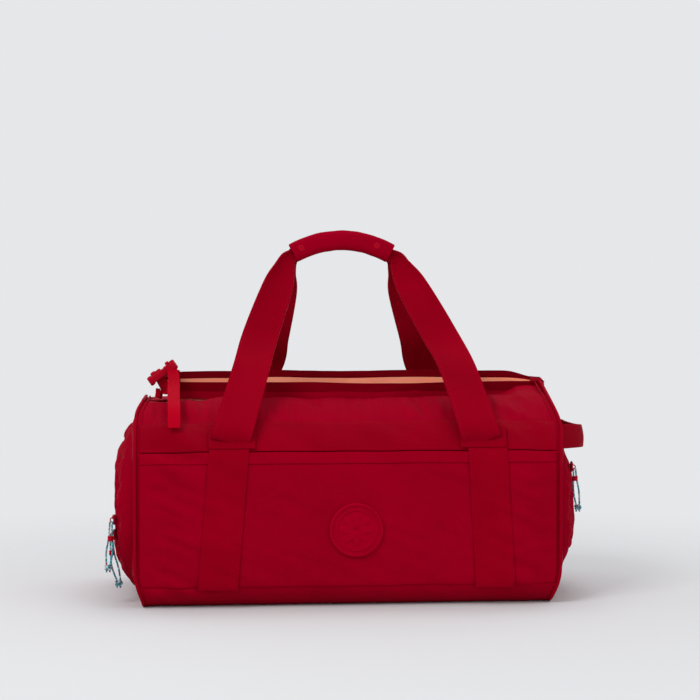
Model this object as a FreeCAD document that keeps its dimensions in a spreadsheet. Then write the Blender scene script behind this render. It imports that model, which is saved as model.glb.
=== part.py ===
import FreeCAD, Part
import math
import os

# Soft travel bag with an open zipped mouth, two carry handles, end pockets and cord zip pulls.
# Frame: X along the bag's length, front towards -Y, +Z up, origin under the middle of the base.

V = FreeCAD.Vector
doc = FreeCAD.newDocument("travel_bag")
sheet = doc.addObject("Spreadsheet::Sheet", "Dims")

DIMENSIONS = [
    ("body_length", 516), ("body_height", 250), ("base_half", 100), ("corner_radius", 30),
    ("shoulder_radius", 90), ("cloth", 3), ("piping_proud", 3), ("piping_wide", 6),
    ("board_length", 480), ("board_width", 180), ("board_thick", 3), ("lining_gap", 3.3),
    ("lining_thick", 1), ("mouth_left", -200), ("mouth_right", 244), ("mouth_half", 39),
    ("lip_thick", 3), ("front_lip_high", 18), ("back_lip_high", 32), ("coil_size", 2),
    ("webbing_wide", 50), ("webbing_thick", 2), ("belt_low", 187), ("belt_high", 219),
    ("strap_left", 146), ("strap_right", 166), ("pocket_low", 30), ("pocket_high", 170), ("hem_high", 12),
    ("badge_place", 7), ("badge_height", 94), ("badge_radius", 32.5), ("badge_thick", 4),
    ("end_centre", 112), ("end_root_radius", 104), ("end_face_radius", 90), ("end_depth", 18),
    ("end_cloth", 2), ("track_tube", 2.2), ("cord_radius", 1.1), ("grip_length", 122),
    ("tail_long", 18), ("tail_high", 14), ("slider_long", 14), ("tab_long", 30),
    ("grab_wide", 34),
]
for row, (name, value) in enumerate(DIMENSIONS, start=1):
    sheet.set("A%d" % row, name)
    sheet.set("B%d" % row, str(value))
    sheet.setAlias("B%d" % row, name)
doc.recompute()
size = {name: float(value) for name, value in DIMENSIONS}

parts = []
HALF_LENGTH = size["body_length"] / 2
SIDE = size["base_half"] + size["corner_radius"]
YOKE_HALF = SIDE - size["shoulder_radius"]
TOP = size["body_height"]
SHOULDER_Z = TOP - size["shoulder_radius"]


def keep(item, label):
    item.Label = label
    parts.append(item)
    return item


# ---- helpers -------------------------------------------------------------------------------

def curve(piece):
    """One outline piece: two points make a straight edge and three make an arc."""
    points = [V(x, y, 0) for x, y in piece]
    if len(points) == 2:
        return Part.LineSegment(points[0], points[1])
    return Part.Arc(points[0], points[1], points[2])


def pad(label, plane, outline, length, centre=None):
    """Pads an outline both ways from an origin plane; length and centre are sheet expressions."""
    body = doc.addObject("PartDesign::Body", label)
    sketch = body.newObject("Sketcher::SketchObject", label + "_outline")
    support = [f for f in body.Origin.OriginFeatures if f.Role == plane][0]
    sketch.AttachmentSupport = [(support, "")]
    sketch.MapMode = "FlatFace"
    for piece in outline:
        sketch.addGeometry(curve(piece), False)
    feature = body.newObject("PartDesign::Pad", label + "_pad")
    feature.Profile = sketch
    feature.SideType = "Symmetric"
    feature.setExpression("Length", length)
    if centre:
        coordinate = {"YZ_Plane": "x", "XZ_Plane": "y", "XY_Plane": "z"}[plane]
        body.setExpression("Placement.Base." + coordinate, centre)
    return keep(body, label)


def box(label, length, width, height, x, y, z):
    """A block whose sizes and low corner are sheet expressions."""
    item = doc.addObject("Part::Box", label)
    for name, value in (("Length", length), ("Width", width), ("Height", height),
                        ("Placement.Base.x", x), ("Placement.Base.y", y), ("Placement.Base.z", z)):
        item.setExpression(name, value)
    return item


def shaped(label, shape):
    item = doc.addObject("Part::Feature", label)
    item.Shape = shape
    return keep(item, label)


def group(label, items):
    joined = doc.addObject("Part::Compound", label)
    joined.Links = items
    return keep(joined, label)


def polar(centre, radius, degrees):
    angle = math.radians(degrees)
    return (centre[0] + radius * math.cos(angle), centre[1] + radius * math.sin(angle))


def side_run(offset, sign, start=-90.0):
    """The bag's section on one side, from the base corner up to the yoke, offset outwards."""
    corner = (size["base_half"], size["corner_radius"])
    shoulder = (YOKE_HALF, SHOULDER_Z)
    low = size["corner_radius"] + offset
    high = size["shoulder_radius"] + offset
    arcs = [
        [polar(corner, low, start), polar(corner, low, start / 2), polar(corner, low, 0)],
        [polar(corner, low, 0), polar(shoulder, high, 0)],
        [polar(shoulder, high, 0), polar(shoulder, high, 45), polar(shoulder, high, 90)],
    ]
    return [[(sign * y, z) for y, z in piece] for piece in arcs]


def backwards(run):
    return [list(reversed(piece)) for piece in reversed(run)]


def closed(outer, inner):
    """Joins an outer run and an inner run into one closed band."""
    back = backwards(inner)
    first = [[outer[-1][-1], back[0][0]]]
    last = [[back[-1][-1], outer[0][0]]]
    return outer + first + back + last


def ribbon(stations):
    """A strap through rectangles: each station is centre, width direction, thickness direction,
    width and thickness."""
    rings = []
    for centre, across, through, wide, thick in stations:
        middle = V(*centre)
        side = V(*across).normalize() * (wide / 2)
        depth = V(*through).normalize() * (thick / 2)
        corners = [middle - side - depth, middle + side - depth,
                   middle + side + depth, middle - side + depth]
        rings.append(Part.makePolygon(corners + corners[:1]))
    return Part.makeLoft(rings, True, True)


# ---- shell ---------------------------------------------------------------------------------

cloth = size["cloth"]
tube_length = "Dims.body_length - 2 * Dims.cloth"
pad("front_panel", "YZ_Plane", closed(side_run(0, -1), side_run(-cloth, -1)), tube_length)
pad("back_panel", "YZ_Plane", closed(side_run(0, 1), side_run(-cloth, 1)), tube_length)
keep(box("base_panel", tube_length, "2 * Dims.base_half", "Dims.cloth",
         "Dims.cloth - Dims.body_length / 2", "-Dims.base_half", "0"), "base_panel")

right_side = side_run(0, 1)
left_side = backwards(side_run(0, -1))
end_outline = [[(-size["base_half"], 0), (size["base_half"], 0)]] + right_side
end_outline += [[(YOKE_HALF, TOP), (-YOKE_HALF, TOP)]] + left_side
for name, sign in (("left", "-1"), ("right", "1")):
    pad("end_panel_" + name, "YZ_Plane", end_outline, "Dims.cloth",
        sign + " * (Dims.body_length - Dims.cloth) / 2")

# The piping arches over each end seam from one base corner to the other.
proud = size["piping_proud"]
outer_arch = side_run(proud, 1, -60) + [[(YOKE_HALF, TOP + proud), (-YOKE_HALF, TOP + proud)]]
outer_arch += backwards(side_run(proud, -1, -60))
inner_arch = side_run(0, 1, -60) + [[(YOKE_HALF, TOP), (-YOKE_HALF, TOP)]]
inner_arch += backwards(side_run(0, -1, -60))
for name, sign in (("left", "-1"), ("right", "1")):
    pad("piping_" + name, "YZ_Plane", closed(outer_arch, inner_arch), "Dims.piping_wide",
        sign + " * (Dims.body_length - Dims.piping_wide) / 2")

# The lining is one channel inside the shell, open at the top; the board lies on it.
def channel(offset):
    run = backwards(side_run(-offset, -1))
    run += [[(-size["base_half"], offset), (size["base_half"], offset)]]
    return run + side_run(-offset, 1)


gap = size["lining_gap"]
pad("lining", "YZ_Plane", closed(channel(gap), channel(gap + size["lining_thick"])),
    "Dims.body_length - 4 * Dims.cloth")
keep(box("base_board", "Dims.board_length", "Dims.board_width", "Dims.board_thick",
         "-Dims.board_length / 2", "-Dims.board_width / 2",
         "Dims.lining_gap + Dims.lining_thick"), "base_board")


# ---- mouth ---------------------------------------------------------------------------------

MOUTH_MIDDLE = (size["mouth_left"] + size["mouth_right"]) / 2


def lens_run(inset, sign):
    """One side of the mouth, an arc from the left point to the right point, moved inwards."""
    return [[(size["mouth_left"] + inset, 0), (MOUTH_MIDDLE, sign * (size["mouth_half"] - inset)),
             (size["mouth_right"] - inset, 0)]]


lip = size["lip_thick"]
yoke_half = "(Dims.base_half + Dims.corner_radius - Dims.shoulder_radius)"
yoke = box("yoke_sheet", tube_length, "2 * " + yoke_half, "Dims.cloth",
           "Dims.cloth - Dims.body_length / 2", "-" + yoke_half, "Dims.body_height - Dims.cloth")
hole = pad("mouth_hole", "XY_Plane", lens_run(lip, -1) + backwards(lens_run(lip, 1)),
           "4 * Dims.cloth", "Dims.body_height")
parts.remove(hole)
yoke_cut = doc.addObject("Part::Cut", "top_yoke")
yoke_cut.Base = yoke
yoke_cut.Tool = hole
keep(yoke_cut, "top_yoke")


def lip_strip(label, sign, outside, inside, height, low):
    outline = closed(lens_run(outside, sign), lens_run(inside, sign))
    return pad(label, "XY_Plane", outline, height, low + " + (" + height + ") / 2")


for name, sign in (("front", -1), ("back", 1)):
    high = "Dims.%s_lip_high" % name
    lip_strip("mouth_lip_" + name, sign, 0, lip, high, "Dims.body_height")
    lip_strip("lip_facing_" + name, sign, lip, lip + 1, high, "Dims.body_height")
    lip_strip("zip_coil_" + name, sign, lip - size["coil_size"], lip, "Dims.coil_size",
              "Dims.body_height + " + high)

# The zip's free tail beyond the mouth's left point, and its slider parked at the right point.
keep(box("zip_tail", "Dims.tail_long", "6", "Dims.tail_high", "Dims.mouth_left - Dims.tail_long", "-3",
         "Dims.body_height + Dims.back_lip_high - Dims.tail_high"), "zip_tail")
keep(box("main_slider_block", "Dims.slider_long", "9", "7", "Dims.mouth_right + 0.4", "-4.5",
         "Dims.body_height + 14"), "main_slider")
keep(box("main_pull_tab", "3", "7", "Dims.tab_long", "Dims.mouth_right + Dims.slider_long + 1", "-3.5",
         "Dims.body_height + 16 - Dims.tab_long"), "main_pull_tab")


# ---- webbing and front pocket --------------------------------------------------------------

belt_thick = "Dims.webbing_thick"
front_face = "-Dims.base_half - Dims.corner_radius - Dims.webbing_thick"


def shoulder_band(sign, low_z, high_z, inside, outside):
    """A band that follows the shoulder between two heights."""
    shoulder = (YOKE_HALF, SHOULDER_Z)
    radius = size["shoulder_radius"]
    first = math.degrees(math.asin((low_z - SHOULDER_Z) / radius))
    last = math.degrees(math.asin((high_z - SHOULDER_Z) / radius))
    rim = [[polar(shoulder, radius + outside, a) for a in (first, (first + last) / 2, last)]]
    back = [[polar(shoulder, radius + inside, a) for a in (first, (first + last) / 2, last)]]
    band = closed(rim, back)
    return [[(sign * y, z) for y, z in piece] for piece in band]


web = size["webbing_thick"]
for name, sign in (("front", -1), ("back", 1)):
    pad("belt_" + name, "YZ_Plane",
        shoulder_band(sign, size["belt_low"], size["belt_high"], 0, web),
        "Dims.body_length - 2 * Dims.piping_wide")
    straps = []
    tabs = []
    for end, place in (("left", "-Dims.strap_left"), ("right", "Dims.strap_right")):
        tag = name + "_" + end
        side = front_face + " - Dims.webbing_thick" if sign < 0 else "Dims.base_half + Dims.corner_radius"
        straps.append(box("strap_" + tag, "Dims.webbing_wide", belt_thick,
                          "Dims.belt_low - 35", place + " - Dims.webbing_wide / 2",
                          side, "30"))
        tab = pad("tab_" + tag, "YZ_Plane",
                  shoulder_band(sign, size["belt_low"], size["belt_high"] - 12, web, 2 * web),
                  "Dims.webbing_wide + 8", place)
        parts.remove(tab)
        tabs.append(tab)
    group("panel_straps_" + name, straps)
    group("belt_tabs_" + name, tabs)

pocket_wide = "Dims.body_length - 2 * Dims.piping_wide"
pocket_start = "Dims.piping_wide - Dims.body_length / 2"
keep(box("front_slip_pocket", pocket_wide, belt_thick, "Dims.pocket_high - Dims.pocket_low",
         pocket_start, front_face, "Dims.pocket_low"),
     "front_slip_pocket")
keep(box("pocket_hem", pocket_wide, belt_thick, "Dims.hem_high",
         pocket_start, front_face, "Dims.pocket_high"),
     "pocket_hem")

badge = doc.addObject("Part::Cylinder", "badge")
badge.setExpression("Radius", "Dims.badge_radius")
badge.setExpression("Height", "Dims.badge_thick")
badge.Placement = FreeCAD.Placement(
    V(size["badge_place"], -SIDE - web, size["badge_height"]), FreeCAD.Rotation(V(1, 0, 0), 90))
keep(badge, "badge")


# ---- carry handles -------------------------------------------------------------------------

FOOT_Y = SIDE + 4
FOOT_Z = size["belt_high"] - 3
GRIP_HALF = size["grip_length"] / 2
GRIP_LOW = 432.0
GRIP_CROWN = 451.0


def handle_leg(side, sign, rest, knee):
    """One leg of a carry handle, folding to half its width where it meets the grip."""
    wide = size["webbing_wide"]
    foot = size["strap_left" if side < 0 else "strap_right"] - 6
    through = (0, sign, 0.45)
    across = (1, 0, 0)
    return ribbon([
        ((side * foot, sign * FOOT_Y, FOOT_Z), across, through, wide, 3),
        ((side * knee, sign * (rest + 76), 290), across, through, wide - 4, 3),
        ((side * 84, sign * (rest + 18), 397), (1, 0, -side * 0.3), through, 32, 3.4),
        ((side * (GRIP_HALF - 2), sign * rest, GRIP_LOW + 2), (1, 0, -side * 0.9), through, 22, 4),
    ])


def arch_band(low, thick):
    """The grip's shallow arch between two heights, as an outline in X and Z."""
    drop = GRIP_CROWN - GRIP_LOW - 6
    base = GRIP_CROWN - drop
    outer = [[(-GRIP_HALF, base + low + thick), (0, GRIP_CROWN + low + thick),
              (GRIP_HALF, base + low + thick)]]
    inner = [[(-GRIP_HALF, base + low), (0, GRIP_CROWN + low), (GRIP_HALF, base + low)]]
    return closed(outer, inner)


for name, sign, rest, left_knee, right_knee in (("front", -1, 10, 117, 136), ("back", 1, 6, 104, 122)):
    legs = handle_leg(-1, sign, rest, left_knee).fuse(handle_leg(1, sign, rest, right_knee))
    outline = Part.Wire([curve(piece).toShape() for piece in arch_band(-14, 18)])
    arch = Part.Face(outline).extrude(V(0, 0, 3))
    arch.rotate(V(0, 0, 0), V(1, 0, 0), 90)
    arch.translate(V(0, sign * rest + 1.5, 0))
    shaped(name + "_handle", legs.fuse(arch).removeSplitter())

pad("grip_wrap", "XZ_Plane", arch_band(-17, 25), "8", "-15.6")
SNAP_RADIUS = 4
SNAP_THICK = 1.5
SNAP_PLACE = V(8 - GRIP_HALF, -19.6, GRIP_LOW + 10)
snap = doc.addObject("Part::Cylinder", "grip_snap")
snap.Radius = SNAP_RADIUS
snap.Height = SNAP_THICK
snap.Placement = FreeCAD.Placement(SNAP_PLACE, FreeCAD.Rotation(V(1, 0, 0), 90))
keep(snap, "grip_snap")


# ---- closure strap and buckle at the left of the mouth --------------------------------------

CLOSURE_X = -211.0
shaped("closure_strap", ribbon([
    ((CLOSURE_X, -121, 222), (1, 0, 0), (0, -1, 0.7), 14, 1.6),
    ((CLOSURE_X, -100, 240), (1, 0, 0), (0, -0.7, 1), 14, 1.6),
    ((CLOSURE_X, -62, 257), (1, 0, 0), (0, -0.45, 1), 14, 1.6),
    ((CLOSURE_X, -32, 281), (1, 0, 0), (0, -0.9, 1), 14, 1.6),
]))
BUCKLE_LONG, BUCKLE_WIDE, BUCKLE_THICK = 38, 22, 7
SLOT_LONG, SLOT_WIDE = 6, 15
buckle_frame = Part.makeBox(BUCKLE_LONG, BUCKLE_WIDE, BUCKLE_THICK,
                            V(-BUCKLE_LONG, -BUCKLE_WIDE / 2, -BUCKLE_THICK / 2))
for slot_start in (-33, -13):
    slot = Part.makeBox(SLOT_LONG, SLOT_WIDE, BUCKLE_THICK + 2,
                        V(slot_start, -SLOT_WIDE / 2, -BUCKLE_THICK / 2 - 1))
    buckle_frame = buckle_frame.cut(slot)
shaped("closure_buckle", buckle_frame).Placement = FreeCAD.Placement(
    V(CLOSURE_X, -20, 290), FreeCAD.Rotation(V(0, 1, 0), -35))
shaped("closure_tail", ribbon([
    ((-236, -20, 267), (0, 1, 0), (1, 0, 0.3), 14, 1.6),
    ((-232, -20, 259), (0, 1, 0), (1, 0, 0.3), 14, 1.6),
    ((-235, -20, 253.6), (0, 1, 0), (1, 0, -0.3), 14, 1.6),
]))


# ---- grab handle on the right end ------------------------------------------------------------

GRAB_HALF = 92.0
GRAB_OUT = 297.0
GRAB_THICK = 3.0
GRAB_STRAIGHT = 40.0


def grab_run(inset, sign):
    """One side of the grab handle's line, from its root on the end panel out to its straight middle."""
    root_x = HALF_LENGTH + 0.03
    root = (root_x, sign * (GRAB_HALF - inset))
    bend = (root_x + 26 - 0.8 * inset, sign * (GRAB_HALF - 14 - 0.7 * inset))
    return [[root, bend, (GRAB_OUT - inset, sign * (GRAB_STRAIGHT - 0.2 * inset))]]


def grab_line(inset):
    straight = [[(GRAB_OUT - inset, -GRAB_STRAIGHT + 0.2 * inset), (GRAB_OUT - inset, GRAB_STRAIGHT - 0.2 * inset)]]
    return grab_run(inset, -1) + straight + backwards(grab_run(inset, 1))


pad("grab_handle", "XY_Plane", closed(grab_line(0), grab_line(GRAB_THICK)), "Dims.grab_wide",
    "(Dims.belt_low + Dims.belt_high) / 2 + 2")


# ---- end pockets -------------------------------------------------------------------------------

def cone(label, low_radius, high_radius, height, sign, start):
    item = doc.addObject("Part::Cone", label)
    item.setExpression("Radius1", low_radius)
    item.setExpression("Radius2", high_radius)
    item.setExpression("Height", height)
    item.Placement = FreeCAD.Placement(
        V(sign * start, 0, size["end_centre"]), FreeCAD.Rotation(V(0, 1, 0), 90 * sign))
    return item


TRACK_RADIUS = size["end_face_radius"] - 5
FACE_X = HALF_LENGTH + size["end_depth"]
for name, sign in (("left", -1), ("right", 1)):
    outer = cone(name + "_gusset_outer", "Dims.end_root_radius", "Dims.end_face_radius",
                 "Dims.end_depth", sign, HALF_LENGTH)
    inner = cone(name + "_gusset_inner", "Dims.end_root_radius - Dims.end_cloth",
                 "Dims.end_face_radius - Dims.end_cloth", "Dims.end_depth", sign, HALF_LENGTH)
    gusset = doc.addObject("Part::Cut", name + "_pocket_gusset")
    gusset.Base = outer
    gusset.Tool = inner
    keep(gusset, name + "_pocket_gusset")
    face = doc.addObject("Part::Cylinder", name + "_pocket_face")
    face.setExpression("Radius", "Dims.end_face_radius")
    face.setExpression("Height", "Dims.end_cloth")
    face.Placement = FreeCAD.Placement(V(sign * FACE_X, 0, size["end_centre"]),
                                       FreeCAD.Rotation(V(0, 1, 0), 90 * sign))
    keep(face, name + "_pocket_face")
    # The zip runs round the face's rim, from low at the front, over the top, to low at the back.
    track = doc.addObject("Part::Torus", name + "_pocket_zip")
    track.Radius1 = TRACK_RADIUS
    track.setExpression("Radius2", "Dims.track_tube")
    track.Angle3 = 290
    track.Placement = FreeCAD.Placement(
        V(sign * (FACE_X + size["end_cloth"] + size["track_tube"]), 0, size["end_centre"]),
        FreeCAD.Rotation(V(0, 1, 0), 90) * FreeCAD.Rotation(V(0, 0, 1), 35))
    keep(track, name + "_pocket_zip")

PLATE_X = FACE_X + size["end_cloth"] + 2 * size["track_tube"] + 0.4
PLATE_THICK, PLATE_WIDE, PLATE_HIGH = 2.5, 9, 12
BAIL_REACH, BAIL_WIDE, BAIL_THICK = 4, 5, 2


def on_track(degrees):
    """Y and Z of a place on the zip; 0 is the front, and positive angles lie lower."""
    angle = math.radians(degrees)
    return (-TRACK_RADIUS * math.cos(angle), size["end_centre"] - TRACK_RADIUS * math.sin(angle))


def slider(label, sign, degrees):
    """A slider plate over the zip with a small bail in the middle that holds the pull."""
    y, z = on_track(degrees)
    plate = Part.makeBox(PLATE_THICK, PLATE_WIDE, PLATE_HIGH, V(0, -PLATE_WIDE / 2, -PLATE_HIGH / 2))
    bail = Part.makeBox(BAIL_REACH, BAIL_WIDE, BAIL_THICK,
                        V(PLATE_THICK, -BAIL_WIDE / 2, -BAIL_THICK / 2))
    item = shaped(label, plate.fuse(bail).removeSplitter())
    turn = FreeCAD.Rotation(V(0, 0, 1), 0 if sign > 0 else 180)
    item.Placement = FreeCAD.Placement(
        V(sign * PLATE_X, y, z), FreeCAD.Rotation(V(1, 0, 0), degrees) * turn)
    return (sign * (PLATE_X + PLATE_THICK + BAIL_REACH - 1.3), y, z)


# ---- cord pulls --------------------------------------------------------------------------------

def cord(label, points, radius):
    """A plain tube along straight runs joined by the largest tangent arcs its runs allow."""
    places = [V(*p) for p in points]
    edges = []
    radii = []
    last = places[0]
    for before, corner, after in zip(places, places[1:], places[2:]):
        back = (before - corner)
        ahead = (after - corner)
        turn = math.pi - back.getAngle(ahead)
        reach = 0.45 * min(back.Length, ahead.Length)
        start = corner + back.normalize() * reach
        end = corner + ahead.normalize() * reach
        bend = reach / math.tan(turn / 2)
        radii.append(bend)
        bisector = (back + ahead).normalize()
        middle = corner + bisector * (bend / math.cos(turn / 2) - bend)
        edges.append(Part.LineSegment(last, start).toShape())
        edges.append(Part.Arc(start, middle, end).toShape())
        last = end
    edges.append(Part.LineSegment(last, places[-1]).toShape())
    path = Part.Wire(edges)
    ring = Part.Wire([Part.Circle(places[0], places[1] - places[0], radius).toShape()])
    solid = path.makePipeShell([ring], True, False)
    expected = math.pi * radius ** 2 * path.Length
    print("%s length %.1f radii %s volume ratio %.4f" % (
        label, path.Length, " ".join("%.1f" % r for r in radii), solid.Volume / expected))
    return shaped(label, solid)


SLEEVE_RADIUS = 3.4
SLEEVE_HIGH = 6
KNOT_RADIUS = 4.6


def cord_pull(name, eye, sleeve_drop, knot_drop, lean, forward, spread):
    """Two cord legs from the slider's bail, through a sleeve, down to a knot. The knot hangs
    lean further along X and forward further towards the front than the bail."""
    x, y, z = eye
    for tag, side in (("outer", -1), ("inner", 1)):
        cord(name + "_cord_" + tag, [
            (x + side * 1.4, y, z - 2.6),
            (x + lean * 0.1 + side * 1.7, y - forward * 0.8, z - sleeve_drop),
            (x + lean * 0.55 + side * spread, y - forward, z - (sleeve_drop + knot_drop) / 2 - 2),
            (x + lean + side * 2.0, y - forward, z - knot_drop),
        ], size["cord_radius"])
    sleeve = doc.addObject("Part::Cylinder", name + "_sleeve")
    sleeve.Radius = SLEEVE_RADIUS
    sleeve.Height = SLEEVE_HIGH
    sleeve.Placement = FreeCAD.Placement(
        V(x + lean * 0.1, y - forward * 0.8, z - sleeve_drop - SLEEVE_HIGH / 2), FreeCAD.Rotation())
    keep(sleeve, name + "_sleeve")
    knot = doc.addObject("Part::Sphere", name + "_knot")
    knot.Radius = KNOT_RADIUS
    knot.Placement = FreeCAD.Placement(
        V(x + lean, y - forward, z - knot_drop - 3), FreeCAD.Rotation())
    keep(knot, name + "_knot")


upper_eye = slider("left_upper_slider", -1, 6)
lower_eye = slider("left_lower_slider", -1, 19)
right_eye = slider("right_slider", 1, -36)
cord_pull("left_upper", upper_eye, 22, 54, -3, 11, 4.6)
cord_pull("left_lower", lower_eye, 22, 56, 9, 3, 4.8)
cord_pull("right", right_eye, 15, 48, 4, 1, 4.2)


# ---- checks and export ---------------------------------------------------------------------------

doc.recompute()
for item in doc.Objects:
    if "Invalid" in item.State or "Error" in item.State:
        raise RuntimeError("failed: " + item.Label + " " + str(item.State))
os.makedirs("parts", exist_ok=True)
for item in parts:
    if item.Shape.isNull() or not item.Shape.isValid():
        raise RuntimeError("bad shape: " + item.Label)
    item.Shape.exportStep("parts/" + item.Label + ".step")
print("sub-parts", len(parts))
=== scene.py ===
import math

import bmesh
import bpy
from mathutils import Matrix, Vector, noise


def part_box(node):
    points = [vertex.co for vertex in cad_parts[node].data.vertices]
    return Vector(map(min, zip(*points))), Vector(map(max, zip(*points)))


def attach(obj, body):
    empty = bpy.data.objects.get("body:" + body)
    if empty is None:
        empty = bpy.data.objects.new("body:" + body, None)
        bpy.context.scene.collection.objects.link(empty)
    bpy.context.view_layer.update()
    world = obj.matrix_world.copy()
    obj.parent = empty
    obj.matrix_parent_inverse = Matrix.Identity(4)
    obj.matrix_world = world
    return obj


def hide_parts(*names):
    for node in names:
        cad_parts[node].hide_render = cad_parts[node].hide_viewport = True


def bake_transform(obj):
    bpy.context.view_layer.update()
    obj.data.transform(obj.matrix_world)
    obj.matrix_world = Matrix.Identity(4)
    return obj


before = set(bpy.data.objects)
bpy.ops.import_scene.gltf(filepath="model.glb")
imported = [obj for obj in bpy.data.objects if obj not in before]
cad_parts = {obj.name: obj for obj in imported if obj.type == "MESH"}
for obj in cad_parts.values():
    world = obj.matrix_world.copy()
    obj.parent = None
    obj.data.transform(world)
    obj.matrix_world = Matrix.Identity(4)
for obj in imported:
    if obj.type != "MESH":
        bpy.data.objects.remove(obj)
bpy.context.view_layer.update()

MM = 0.001

# ---- sizes read from the frame

SEAM_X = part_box("end_panel_right")[1].x
SIDE_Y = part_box("end_panel_right")[1].y
TOP_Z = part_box("end_panel_right")[1].z
CORNER = 0.030
SHOULDER = 0.090
BASE_HALF = SIDE_Y - CORNER
YOKE_HALF = SIDE_Y - SHOULDER
MOUTH_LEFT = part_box("mouth_lip_back")[0].x - 0.012
MOUTH_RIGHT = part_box("mouth_lip_back")[1].x + 0.014
MOUTH_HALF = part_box("mouth_lip_back")[1].y
MOUTH_MIDDLE = (MOUTH_LEFT + MOUTH_RIGHT) / 2
LIP_FRONT_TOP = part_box("zip_coil_front")[1].z - 0.003
LIP_BACK_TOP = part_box("zip_coil_back")[1].z - 0.005
BELT_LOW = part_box("belt_front")[0].z
BELT_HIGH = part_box("belt_front")[1].z
HEM_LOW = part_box("pocket_hem")[0].z
POCKET_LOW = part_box("front_slip_pocket")[0].z
POCKET_CENTRE_Z = (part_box("left_pocket_face")[0].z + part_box("left_pocket_face")[1].z) / 2
GRIP_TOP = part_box("grip_wrap")[1].z

# ---- sizes of the cloth model

LEFT_STRAP = -0.1450
RIGHT_STRAP = 0.1670
RIGHT_SHIFT = 0.003
CORNER_TOP = TOP_Z + 0.0165
TRACK_RADIUS = 0.085
ZIP_STAND = 0.0188
ZIP_TEETH = 230
LOOP_STEPS = 46
KNOT_POINTS = 42
LINING_GAP = 0.009
GRIP_HALF = 0.0600
GRIP_SAG = 0.0155
CORD_RADIUS = 1.1 * MM
SHELL_THICK = 0.0016
END_THICK = 0.0014
LINING_THICK = 0.0008
WEBBING_THICK = 0.0022
BAND_THICK = 0.0012
PANEL_BOTH = (("front", -1), ("back", 1))
END_BOTH = (("left", -1), ("right", 1))


def middle_of(node):
    """The middle of a CAD node's box."""
    low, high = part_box(node)
    return (low + high) / 2


# ---- nodes of a material

def new_group(name, inputs, outputs):
    """An empty shader node group: inputs are (name, default) and outputs are (name, socket type)."""
    group = bpy.data.node_groups.new(name, "ShaderNodeTree")
    for label, value in inputs:
        kind = "NodeSocketColor" if isinstance(value, tuple) else "NodeSocketFloat"
        if value == "vector":
            kind = "NodeSocketVector"
        socket = group.interface.new_socket(label, in_out="INPUT", socket_type=kind)
        if value != "vector":
            socket.default_value = value
    for label, kind in outputs:
        group.interface.new_socket(label, in_out="OUTPUT", socket_type=kind)
    return group, group.nodes.new("NodeGroupInput"), group.nodes.new("NodeGroupOutput")


class Wires:
    """Short words for adding and joining nodes in one tree."""

    def __init__(self, tree):
        self.tree = tree

    def add(self, kind, **settings):
        node = self.tree.nodes.new(kind)
        for key, value in settings.items():
            setattr(node, key, value)
        return node

    def join(self, source, target):
        self.tree.links.new(source, target)

    def maths(self, operation, first, second=0.5, third=0.5, clamp=False):
        node = self.add("ShaderNodeMath", operation=operation, use_clamp=clamp)
        for socket, value in zip(node.inputs, (first, second, third)):
            if isinstance(value, (int, float)):
                socket.default_value = value
            else:
                self.join(value, socket)
        return node.outputs[0]

    def blend(self, share, first, second):
        node = self.add("ShaderNodeMix", data_type="RGBA")
        for index, value in ((0, share), (6, first), (7, second)):
            socket = node.inputs[index]
            if isinstance(value, (int, float, tuple)):
                socket.default_value = value
            else:
                self.join(value, socket)
        return node.outputs[2]


def make_weave_group():
    """Threads crossing over and under each other, as a height from 0 to 1."""
    group, inputs, outputs = new_group(
        "thread_weave", [("Vector", "vector"), ("Across", 1200.0), ("Along", 1200.0)],
        [("Height", "NodeSocketFloat")])
    w = Wires(group)
    split = w.add("ShaderNodeSeparateXYZ")
    w.join(inputs.outputs["Vector"], split.inputs[0])
    across = w.maths("SINE", w.maths("MULTIPLY", split.outputs[0], inputs.outputs["Across"]))
    along = w.maths("SINE", w.maths("MULTIPLY", split.outputs[1], inputs.outputs["Along"]))
    woven = w.maths("MULTIPLY", across, along)
    w.join(w.maths("MULTIPLY_ADD", woven, 0.5), outputs.inputs["Height"])
    return group


def make_tone_and_crinkle_group():
    """Two noise masks for cloth: Patches, broad uneven tone, and Crinkle, fine crinkles; where a material
    colours by Crinkle, that is painted shade in the creases and painted light on the ridges.
    """
    group, inputs, outputs = new_group(
        "cloth_tone_and_crinkle", [("Vector", "vector"), ("Scale", 9.0)],
        [("Patches", "NodeSocketFloat"), ("Crinkle", "NodeSocketFloat")])
    w = Wires(group)
    broad = w.add("ShaderNodeTexNoise")
    w.join(inputs.outputs["Vector"], broad.inputs["Vector"])
    w.join(inputs.outputs["Scale"], broad.inputs["Scale"])
    broad.inputs["Detail"].default_value = 4.0
    w.join(broad.outputs["Fac"], outputs.inputs["Patches"])
    fine = w.add("ShaderNodeTexNoise")
    w.join(inputs.outputs["Vector"], fine.inputs["Vector"])
    w.join(w.maths("MULTIPLY", inputs.outputs["Scale"], 13.0), fine.inputs["Scale"])
    fine.inputs["Detail"].default_value = 6.0
    fine.inputs["Roughness"].default_value = 0.62
    fine.inputs["Distortion"].default_value = 0.8
    w.join(fine.outputs["Fac"], outputs.inputs["Crinkle"])
    return group


RED_SHINE = (1.0, 0.02, 0.08, 1)
THREADS = 2600.0
STITCH_STEP = 3.2 * MM
WEAVE = make_weave_group()
TONE_AND_CRINKLE = make_tone_and_crinkle_group()


def finish_group(tree, group, **values):
    node = tree.nodes.new("ShaderNodeGroup")
    node.node_tree = group
    for key, value in values.items():
        socket = node.inputs[key]
        if isinstance(value, (int, float)):
            socket.default_value = value
        else:
            tree.links.new(value, socket)
    return node


def paler(colour, share):
    return tuple(min(1, c * share) for c in colour[:3]) + (1,)


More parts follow.
